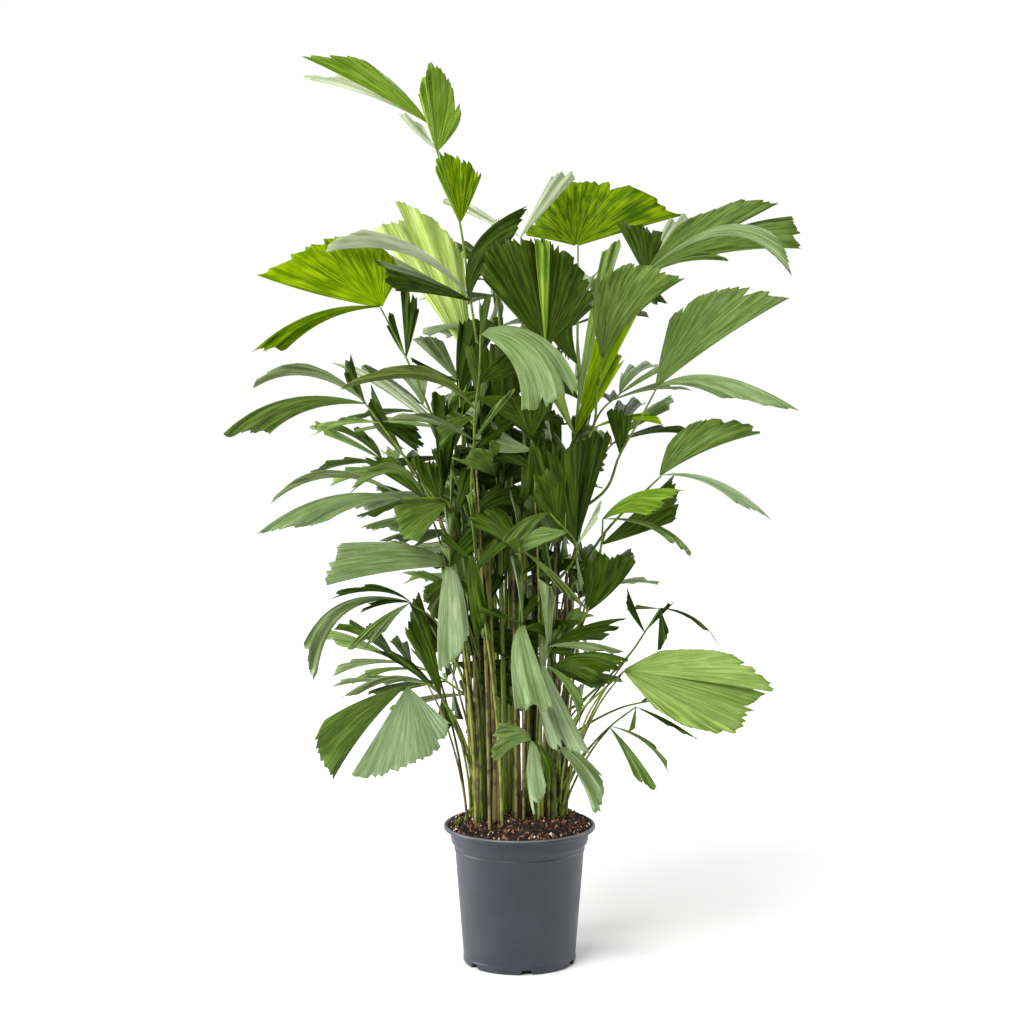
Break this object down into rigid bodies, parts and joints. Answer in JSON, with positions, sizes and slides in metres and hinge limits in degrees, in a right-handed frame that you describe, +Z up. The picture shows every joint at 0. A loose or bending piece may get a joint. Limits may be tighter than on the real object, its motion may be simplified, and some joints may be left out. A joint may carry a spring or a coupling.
{
  "type": "potted clustering fishtail palm",
  "caption": "Clustering palm in a round grower's pot: slender upright stems and arching fronds of ragged, fan-ribbed leaflets.",
  "frame": {"origin": "centre of the pot's flat underside", "axes": "+Z up, +Y towards the back of the crown, +X to the right as seen from the front"},
  "size_m": [0.8812, 0.7728, 1.4243],
  "materials": {
    "pot": "satin moulded polypropylene",
    "soil": "loose moist peat and bark",
    "stem": "smooth green cane with brown fibre",
    "frond": "soft sheen of living leaf"
  },
  "bodies": {
    "root": {"pot": "pot", "soil": "soil", "stem_01": "stem", "stem_02": "stem", "stem_03": "stem", "stem_04": "stem", "stem_05": "stem", "stem_06": "stem", "stem_07": "stem", "stem_08": "stem", "stem_09": "stem", "stem_10": "stem", "stem_11": "stem", "stem_12": "stem", "stem_13": "stem", "stem_14": "stem", "stem_15": "stem", "frond_tall_left": "frond", "frond_lime_left": "frond", "frond_arching_left": "frond", "frond_pale_front": "frond", "frond_dark_upright": "frond", "frond_dark_fan": "frond", "frond_middle_left": "frond", "frond_glossy_left": "frond", "frond_drooping_left": "frond", "frond_low_left": "frond", "frond_inner_left": "frond", "frond_hanging_front": "frond", "frond_hanging_right": "frond", "frond_low_front": "frond", "frond_low_right": "frond", "frond_broad_right": "frond", "frond_slender_right": "frond", "frond_glossy_right": "frond", "frond_thin_right": "frond", "frond_broad_upper_right": "frond", "frond_tail_right": "frond", "frond_folded_right": "frond", "frond_dark_right": "frond", "frond_slanting_front": "frond", "frond_upright_back": "frond", "frond_sunlit_right": "frond", "frond_dark_crown": "frond", "frond_upper_right": "frond", "frond_lime_back": "frond", "frond_grey_left": "frond", "frond_short_left": "frond", "frond_far_01": "frond", "frond_far_02": "frond", "frond_far_03": "frond", "frond_far_04": "frond", "frond_far_05": "frond", "frond_far_06": "frond", "frond_far_07": "frond", "frond_far_08": "frond", "frond_far_09": "frond", "frond_far_10": "frond", "frond_far_11": "frond", "frond_far_12": "frond"}
  },
  "joints": []
}
